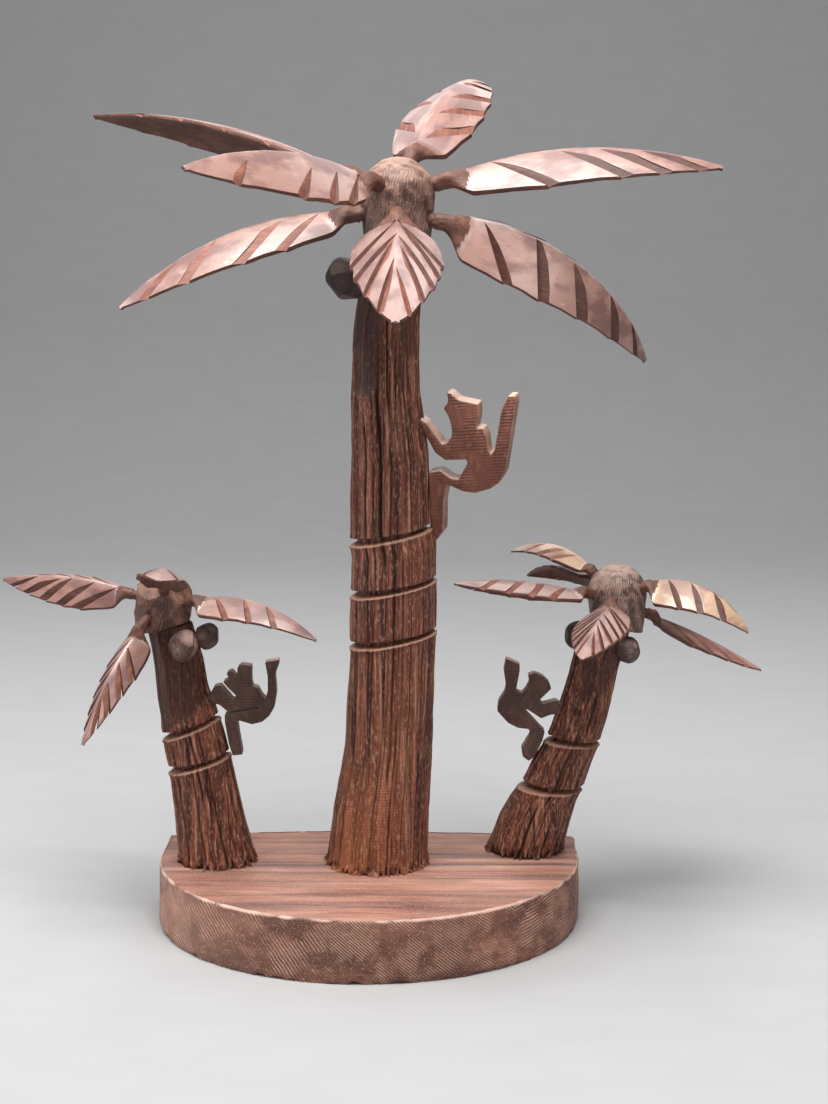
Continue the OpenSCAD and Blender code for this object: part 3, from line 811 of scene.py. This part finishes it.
def cut_frond(name, cad_node, body, woods, at, crown_r, frond, peg_r, edge_t, gouges, around, along, seed):
    """Carves a frond lying along X, cuts its gouges and sets its peg in the crown. woods are the
    polished top, the cuts' flat walls, the rest and the cuts' steep walls."""
    neck_r = peg_r * 1.2
    skin_at, slope = peg_reach(frond, crown_r)
    shoulder = skin_at + neck_r * tan(slope) + 0.3
    random = np.random.default_rng(seed)
    left, right, ridge = gouges[0], gouges[1], gouges[-1]
    # three rows for the peg, one for the neck's start, then the blade and its tip
    t_of_row = np.concatenate([[-3, -3, -1, 0], np.linspace(0.0, 1.0, along), [1.0]])
    made, u, v = wrapped_grid(name, around, len(t_of_row) - 1)
    t = np.clip(t_of_row[v], 0, 1)
    s = u / around
    # the round neck, as seen along the peg
    turn = pi / 2 - 2 * pi * s
    lump = 1 + 0.05 * lattice_noise(s * CELLS / 5, t * 60, seed) \
        + 0.04 * lattice_noise(s * CELLS / 2, t * 160, seed + 1)
    flats = 1 - 0.05 * np.abs(np.sin(2.5 * turn + seed))
    grow = 1 + 0.35 * np.clip((t - 0.02) / 0.1, 0, 1)
    neck = np.stack([np.cos(turn), np.sin(turn)], 1) * (neck_r * lump * flats * grow)[:, None]
    # the blade: top, right edge, underside, left edge
    w = np.maximum(0.7, frond.half * leaf_half_width(t, frond.late))
    side = np.where(s < 0.5, 1, -1)
    ease = lattice_noise(t * 9 + 3, 0 * t, seed + 2)
    tooth = np.zeros_like(t)
    for sign, exits in ((1, right), (-1, left)):
        for leave in exits:
            near = np.clip(1 - (leave - t) / 0.07, 0, 1) * (t <= leave) \
                + np.clip(1 - (t - leave) / 0.012, 0, 1) * (t > leave)
            tooth = np.maximum(tooth, np.where(side == sign, near, 0))
    w = w * (0.965 + 0.05 * tooth + 0.012 * ease)
    thick = edge_t * (1 - 0.62 * t) * (0.92 + 0.08 * ease)
    top = (s <= TOP_SHARE) | (s >= 1 - TOP_SHARE)
    top_x = np.where(s <= 0.5, s / TOP_SHARE, (s - 1) / TOP_SHARE) * w
    edge_share = np.where(s <= 0.5, s - TOP_SHARE, 1 - TOP_SHARE - s) / EDGE_SHARE
    edge = ~top & (edge_share <= 1)
    down = np.clip(edge_share, 0, 1)
    edge_x = side * (w + 0.12 * np.sin(down * pi) * thick - 0.12 * thick * down)
    q = (0.5 - s) / UNDER_SHARE
    x = np.where(top, top_x, np.where(edge, edge_x, q * (w - 0.12 * thick)))
    crest = q - 0.8 * ridge
    crest = np.abs(crest / np.where(crest > 0, 1 - 0.8 * ridge, 1 + 0.8 * ridge))
    hollow = -frond.roof * w * crest ** 1.1 - thick * (1.35 - 0.35 * crest)
    under_y = hollow + 0.10 * lattice_noise(t * 40, q * 3 + 9, seed + 4)
    y = np.where(top, roof(frond, top_x, w, ridge),
                 np.where(edge, -frond.roof * w - thick * edge_share, under_y))
    # the neck widens into the blade, along its middle first
    root = 0.012 * np.abs(np.where(top, x / np.maximum(w, 0.1), 1))
    blade = np.clip((t - 0.045 + root) / 0.095, 0, 1)
    blade = blade * blade * (3 - 2 * blade)
    place = blade_point(frond, t, neck[:, 0] * (1 - blade) + x * blade, neck[:, 1] * (1 - blade) + y * blade)
    peg_end = skin_at - PEG_DEPTH - shoulder
    for row, (back, r) in enumerate(((peg_end, 0.0), (peg_end, peg_r), (0.05, peg_r))):
        ring = v == row
        place[ring] = np.stack([np.full(ring.sum(), back), r * np.cos(turn[ring]), r * np.sin(turn[ring])], 1)
    last = v == len(t_of_row) - 1
    place[last] = blade_point(frond, np.ones(last.sum()), np.zeros(last.sum()),
                              np.full(last.sum(), -frond.roof * 0.4 - edge_t * 0.2))
    place[:, 0] += shoulder
    shape_to(made, place)
    # the polished top stops where the neck begins
    for wood in woods:
        made.data.materials.append(wood)
    first_corner = np.empty(len(made.data.polygons), dtype=int)
    made.data.polygons.foreach_get("loop_start", first_corner)
    corner_point = np.empty(len(made.data.loops), dtype=int)
    made.data.loops.foreach_get("vertex_index", corner_point)
    corners = corner_point[first_corner[:, None] + np.arange(4)]
    mean_s = np.where(np.ptp(s[corners], axis=1) > 0.5, 0.0, s[corners].mean(1))
    away = np.minimum(mean_s, 1 - mean_s) / TOP_SHARE
    on_blade = (t[corners].mean(1) > 0.10 + 0.022 * (1 - away)) & (v[corners].min(1) > 4)
    made.data.polygons.foreach_set("material_index", np.where((away < 1.0) & on_blade, 0, 2))
    weld(made, 30)
    clear()
    bpy.ops.mesh.primitive_cylinder_add(vertices=3, radius=1.0, depth=2.0, location=(0, 0, 0))
    gouge = bpy.context.object
    tools = []
    for sign, exits in ((1, right), (-1, left)):
        for leave in exits:
            bar = gouge_bar(gouge.data, woods, frond, sign, leave, gouges, shoulder, random)
            tools.append(bpy.data.objects.new("gouge_bar", bar))
            bpy.context.collection.objects.link(tools[-1])
    bpy.data.objects.remove(gouge, do_unlink=True)
    tool = joined(tools)
    pick(tool)
    bpy.ops.object.mode_set(mode="EDIT")
    bpy.ops.mesh.select_all(action="SELECT")
    bpy.ops.mesh.normals_make_consistent(inside=False)
    bpy.ops.object.mode_set(mode="OBJECT")
    cut_away(made, tool)
    # the grain runs along the frond, at another place in the wood for each
    grain = made.data.attributes.new("grain", "FLOAT_VECTOR", "POINT")
    grain.data.foreach_set("vector", (points_of(made) + random.uniform(-1, 1, 3)).ravel())
    made.data.transform(peg_frame(at, frond) @ Matrix.Rotation(radians(frond.roll), 4, "X"))
    pick(made)
    bpy.ops.object.shade_smooth_by_angle(angle=radians(32))
    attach(made, body)
    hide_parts(cad_node)


def grain_place(tree):
    return node(tree, "ShaderNodeAttribute", attribute_name="grain").outputs["Vector"]


def polished_wood(name, dark, mid, pale, seed):
    made, tree, shader = new_material(name)
    here = grain_place(tree)
    colour, fibre = wood_colours(here, (16, 130, 130), [dark, mid, mid, pale], 0.46, seed)
    cloud = noise_of(here, (50, 110, 110), 4.0)
    tree.links.new(toned(colour, cloud, 0.45, 0.58, 0.85, dark), shader.inputs["Base Color"])
    worn = combined("ADD", scaled(fibre, 0.3, 0.7, 0.26, 0.42), scaled(cloud, 0.42, 0.60, 0.0, 0.25))
    tree.links.new(worn, shader.inputs["Roughness"])
    shader.inputs["Specular IOR Level"].default_value = 0.8
    shader.inputs["Coat Weight"].default_value = 0.75
    shader.inputs["Coat Roughness"].default_value = 0.36
    shader.inputs["Coat IOR"].default_value = 1.6
    shader.inputs["Sheen Weight"].default_value = 0.2
    bumped(shader, noise_of(here, (90, 1100, 1100)), 0.22, 0.0002)
    return made


def raw_wood(name, dark, mid, pale, seed, ruts):
    made, tree, shader = new_material(name)
    here = grain_place(tree)
    colour, fibre = wood_colours(here, (40, 260, 260), [dark, mid, pale], 0.5, seed)
    grained(shader, colour, fibre, 0.5, 0.72)
    bumped(shader, noise_of(here, (ruts, 1300, 1300), 4.0), 0.6, 0.0003)
    return made


# the pale grey-pink end of the polished palette is partly the wood's own tone and partly painted sheen,
# standing for the polish's silvery gloss
polished = polished_wood("frond_polished", (0.13, 0.036, 0.026), (0.32, 0.165, 0.13), (0.58, 0.43, 0.38), 2.0)
cut_raw = raw_wood("frond_gouged", (0.060, 0.018, 0.012), (0.20, 0.068, 0.044), (0.42, 0.20, 0.14), 4.0, 200)
neck_raw = raw_wood("frond_neck", (0.028, 0.011, 0.008), (0.105, 0.038, 0.024), (0.25, 0.115, 0.075), 6.0,
                    500)
sapwood = polished_wood("frond_sapwood", (0.22, 0.10, 0.065), (0.47, 0.30, 0.19), (0.68, 0.53, 0.40), 8.0)
# a darker copy of the gouged wood, painted on one wall of each cut as its shade
cut_painted_shade = raw_wood("frond_gouge_painted_shade", (0.020, 0.007, 0.005), (0.075, 0.024, 0.016), (0.17, 0.07, 0.048),
                    3.0, 200)
# HEART and SAP paint the shade on each cut's steep wall; the SHADE_ON_FLAT sets paint it on the flat walls
# instead
HEART = (polished, cut_raw, neck_raw, cut_painted_shade)
HEART_SHADE_ON_FLAT = (polished, cut_painted_shade, neck_raw, cut_raw)
SAP = (sapwood, cut_raw, neck_raw, cut_painted_shade)
SAP_SHADE_ON_FLAT = (sapwood, cut_painted_shade, neck_raw, cut_raw)
# for each frond: where its cuts leave the left and the right edge, how far back along the blade
# they start, a cut's width and depth in mm, how far from the ridge it starts, and how far to
# the right of the middle that ridge runs
TALL_CUTS = [
    ((0.34, 0.52, 0.68, 0.84), (0.30, 0.47, 0.64, 0.80), 0.16, 3.0, 1.5, 0.15, -0.25),
    ((0.26, 0.42, 0.60, 0.80), (0.20, 0.33, 0.50, 0.80), 0.09, 3.2, 1.5, 0.32, -0.45),
    ((0.34, 0.52, 0.70, 0.86), (0.31, 0.48, 0.71, 0.88), 0.17, 3.2, 1.5, 0.06, -0.40),
    ((0.30, 0.46, 0.62, 0.78, 0.90), (0.34, 0.52, 0.68, 0.84), 0.13, 3.3, 1.4, 0.18, 0.0),
    ((0.375, 0.63, 0.77, 0.91), (0.34, 0.5, 0.66, 0.8), 0.19, 3.2, 1.5, 0.06, 0.45),
    ((0.30, 0.45, 0.62, 0.79, 0.92), (0.24, 0.40, 0.56, 0.72), 0.12, 3.4, 2.1, 0.02, 0.50),
    ((0.42, 0.56, 0.72, 0.88), (0.38, 0.50, 0.62, 0.76, 0.90), 0.34, 2.6, 1.5, 0.04, 0.0)]
LEFT_CUTS = [
    ((0.36, 0.50, 0.64, 0.78), (0.36, 0.50, 0.64, 0.78, 0.9), 0.20, 2.2, 1.1, 0.06, -0.35),
    ((0.36, 0.50, 0.64, 0.78, 0.9), (0.40, 0.56, 0.72, 0.86), 0.20, 2.3, 1.1, 0.08, 0.0),
    ((0.40, 0.58, 0.76), (0.40, 0.58, 0.76), 0.18, 2.0, 1.0, 0.1, 0.0),
    ((0.34, 0.52, 0.70), (0.36, 0.52, 0.68), 0.14, 1.9, 1.0, 0.1, 0.4)]
RIGHT_CUTS = [
    ((0.40, 0.56, 0.74), (0.40, 0.56, 0.74), 0.16, 1.9, 0.9, 0.1, -0.3),
    ((0.40, 0.56, 0.74), (0.36, 0.52, 0.68, 0.84), 0.18, 2.1, 1.0, 0.1, -0.3),
    ((0.36, 0.52, 0.68, 0.82), (0.36, 0.52, 0.68, 0.84), 0.22, 2.1, 1.0, 0.06, -0.4),
    ((0.36, 0.46, 0.56, 0.67, 0.79, 0.90), (0.36, 0.46, 0.56, 0.67, 0.79, 0.90), 0.30, 1.6, 1.2, 0.02, 0.0),
    ((0.36, 0.54, 0.74), (0.34, 0.54, 0.72, 0.88), 0.18, 2.3, 1.2, 0.05, 0.45),
    ((0.40, 0.58, 0.76), (0.36, 0.54, 0.72), 0.18, 2.0, 1.0, 0.1, 0.3),
    ((0.36, 0.52, 0.68, 0.84), (0.36, 0.54, 0.72), 0.20, 2.0, 0.9, 0.06, 0.4)]
for palm, fronds, cuts_of, crown_at, crown_r, peg_r, edge_t, around, along, first_seed, others in (
        ("tall", TALL_FRONDS, TALL_CUTS, TALL_AT, TALL_R, TALL_PEG, 3.0, 96, 150, 100,
         {5: HEART_SHADE_ON_FLAT, 6: HEART_SHADE_ON_FLAT}),
        ("left", LEFT_FRONDS, LEFT_CUTS, LEFT_AT, SMALL_R, SMALL_PEG, 1.8, 72, 96, 200, {1: HEART_SHADE_ON_FLAT}),
        ("right", RIGHT_FRONDS, RIGHT_CUTS, RIGHT_AT, SMALL_R, SMALL_PEG, 1.8, 72, 96, 300,
         {1: SAP, 5: SAP_SHADE_ON_FLAT})):
    for i, (frond, cuts) in enumerate(zip(fronds, cuts_of), 1):
        cut_frond(f"frond_{palm}_{i}", f"{palm}_frond_{i}", f"{palm}_frond_{i}_body", others.get(i, HEART),
                  crown_at, crown_r, frond, peg_r, edge_t, cuts, around, along, first_seed + i)

# ---- Coconuts ----
# Small knobs whittled from the same dark wood with a few flat knife cuts, glued against the
# trunks right under the crowns. The knobs that sit in a crown's shadow take a darker copy of
# the wood, painted as shade.


def whittle_coconut(name, cad_node, wood, at, r, tilt, flats, depth, seed):
    made, out = ball_directions(name, 5)
    normals = even_directions(flats, seed)
    skin = np.minimum(whittled(out, r * (1 - depth))(normals), r)
    nearest = (out @ normals.T).argmax(1)
    scrape = 0.05 * np.sin((out @ np.array([0.3, 0.8, 0.5])) * r * 2 * pi / 0.9 + nearest * 2.0)
    place = out * (skin + scrape - 0.05)[:, None] * np.array([0.97, 0.97, 1.08])
    shape_to(made, place)
    made.data.transform(Matrix.Translation(Vector(at) * MM) @ Matrix.Rotation(radians(tilt[1]), 4, "Y")
                        @ Matrix.Rotation(radians(tilt[0]), 4, "X"))
    point_value(made, "worn", np.clip((r - skin) / (r * depth), 0, 1) * 0.5 + 0.1)
    weld(made, 24)
    made.data.materials.append(wood)
    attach(made, "stand")
    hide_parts(cad_node)


# a darker copy of the coconuts' wood, painted as the shade they sit in
coconut_shaded = rasped_wood("coconut_shaded", (0.022, 0.011, 0.010), (0.062, 0.030, 0.024), (0.16, 0.09, 0.07),
                           3.3)
# a middle tone of the same wood
coconut_mid_tone = rasped_wood("coconut_mid_tone", (0.05, 0.026, 0.022), (0.11, 0.062, 0.05), (0.24, 0.16, 0.135),
                            7.1)
coconut_pale = rasped_wood("coconut_pale", (0.05, 0.018, 0.014), (0.14, 0.06, 0.045), (0.55, 0.36, 0.30), 5.1)
whittle_coconut("coconut_tall", "tall_coconut", coconut_shaded, (-7.4, -11.6, 260.5), 8.2, (20, -30), 13,
                0.14, 5)
whittle_coconut("coconut_left_front", "left_coconut_front", coconut_pale, (-72.2, -13.5, 117), 6.3,
                (25, 10), 8, 0.24, 12)
whittle_coconut("coconut_left_side", "left_coconut_side", coconut_mid_tone, (-64.5, -2.5, 118.6), 5.3,
                (15, 30), 10, 0.14, 19)
whittle_coconut("coconut_right_outer", "right_coconut_outer", coconut_mid_tone, (105, 12, 110.5), 5.4,
                (0, -20), 22, 0.05, 26)
whittle_coconut("coconut_right_inner", "right_coconut_inner", coconut_shaded, (84.6, 10, 117), 5.6, (10, 20),
                11, 0.14, 33)

# ---- Monkeys ----
# Three climbing monkeys sawn from flat board with a scroll saw, one thick and two thin. Hand,
# foot and thigh are glued to a trunk. The faces keep the marks of the saw, the edges are paler.


def sawn_face(name, dark, mid, pale, seed, turned, pitch, depth):
    made, tree, shader = new_material(name)
    here = object_place(tree)
    colour, fibre = wood_colours(here, (60, 60, 22), [dark, mid, pale], 0.45, seed)
    marks = saw_lines(here, turned, pitch, 1.4)
    colour = toned(colour, marks, 0.25, 0.75, 0.62, dark)
    colour = toned(colour, noise_of(here, (800, 800, 400)), 0.55, 0.7, 0.45, pale)
    colour = toned(colour, facing_up(tree), 0.35, 0.8, 0.7, pale)
    grained(shader, colour, fibre, 0.48, 0.7)
    first = bumped(shader, marks, 0.5, depth)
    bumped(shader, noise_of(here, (700, 700, 500), 2.0), 0.4, 0.0003, first)
    return made


def saw_monkey(name, cad_node, face_wood, edge_wood, through, round_corner, ease):
    """A copy of the sawn board with its corners eased. through is the way the saw went."""
    clear()
    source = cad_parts[cad_node]
    made = bpy.data.objects.new(name, source.data.copy())
    bpy.context.collection.objects.link(made)
    made.data.name = name
    made.data.materials.clear()
    made.data.materials.append(face_wood)
    made.data.materials.append(edge_wood)
    pick(made)
    bpy.ops.object.mode_set(mode="EDIT")
    bpy.ops.mesh.select_all(action="SELECT")
    bpy.ops.mesh.remove_doubles(threshold=0.00001)
    bpy.ops.mesh.dissolve_limited(angle_limit=radians(2))
    bpy.ops.mesh.select_all(action="DESELECT")
    bpy.ops.object.mode_set(mode="OBJECT")
    way = Vector(through).normalized()
    points = made.data.vertices
    for edge in made.data.edges:
        run = points[edge.vertices[1]].co - points[edge.vertices[0]].co
        edge.select = abs(run.normalized().dot(way)) > 0.95
    bpy.ops.object.mode_set(mode="EDIT")
    bpy.ops.mesh.select_mode(type="EDGE")
    bpy.ops.mesh.bevel(offset=round_corner * MM, segments=3, clamp_overlap=True)
    bpy.ops.object.mode_set(mode="OBJECT")
    for face in made.data.polygons:
        face.select = abs(face.normal.dot(way)) > 0.95
    bpy.ops.object.mode_set(mode="EDIT")
    bpy.ops.mesh.select_mode(type="FACE")
    bpy.ops.mesh.region_to_loop()
    bpy.ops.mesh.bevel(offset=ease * MM, segments=2, clamp_overlap=True)
    bpy.ops.object.mode_set(mode="OBJECT")
    for face in made.data.polygons:
        face.material_index = 0 if abs(face.normal.dot(way)) > 0.9 else 1
    bpy.ops.object.shade_smooth_by_angle(angle=radians(28))
    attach(made, "stand")
    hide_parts(cad_node)


monkey_face = sawn_face("monkey_face_tall", (0.060, 0.017, 0.011), (0.20, 0.065, 0.040),
                        (0.36, 0.16, 0.105), 2.2, (0.14, 0.05, 0.0), 0.0012, 0.00035)
monkey_edge = sawn_face("monkey_edge_tall", (0.14, 0.06, 0.042), (0.34, 0.18, 0.13), (0.64, 0.46, 0.37), 5.2,
                        (0.3, 0.1, 0.0), 0.0009, 0.0002)
small_face = sawn_face("monkey_face_small", (0.030, 0.013, 0.010), (0.085, 0.036, 0.026),
                       (0.19, 0.095, 0.07), 9.2, (0.10, 0.02, 0.0), 0.0011, 0.0002)
small_edge = sawn_face("monkey_edge_small", (0.08, 0.04, 0.03), (0.19, 0.11, 0.085), (0.42, 0.30, 0.25), 6.6,
                       (0.2, 0.1, 0.0), 0.0009, 0.0002)
turn, lean = radians(-14), radians(8)
board_way = (sin(-turn) * cos(lean), cos(turn) * cos(lean), sin(lean))
saw_monkey("monkey_tall", "tall_monkey", monkey_face, monkey_edge, board_way, 1.1, 0.3)
saw_monkey("monkey_left", "left_monkey", small_face, small_edge, (0, 1, 0), 0.45, 0.2)
saw_monkey("monkey_right", "right_monkey", small_face, small_edge, (0, 1, 0), 0.45, 0.2)

# ---- Screws and dowels ----
# Out of sight: a plain steel screw holds each trunk from under the plank, and a pale dowel joins
# each trunk to its crown. Their shapes are right as they are and get a finish only.
steel, tree, shader = new_material("screw_zinc")
shader.inputs["Metallic"].default_value = 1.0
cloud = node(tree, "ShaderNodeTexNoise", Scale=900.0, Detail=3.0, Vector=object_place(tree)).outputs["Fac"]
grained(shader, two_tones(cloud, (0.50, 0.50, 0.52), (0.68, 0.68, 0.66)), cloud, 0.28, 0.42)
dowel = sawn_face("dowel_pale", (0.42, 0.27, 0.14), (0.58, 0.41, 0.24), (0.70, 0.53, 0.34), 1.1, (0, 0, 0),
                  0.002, 0.0001)
for cad_node, wood in (("trunk_screws", steel), ("crown_dowels", dowel)):
    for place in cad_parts[cad_node].material_slots:
        place.material = wood
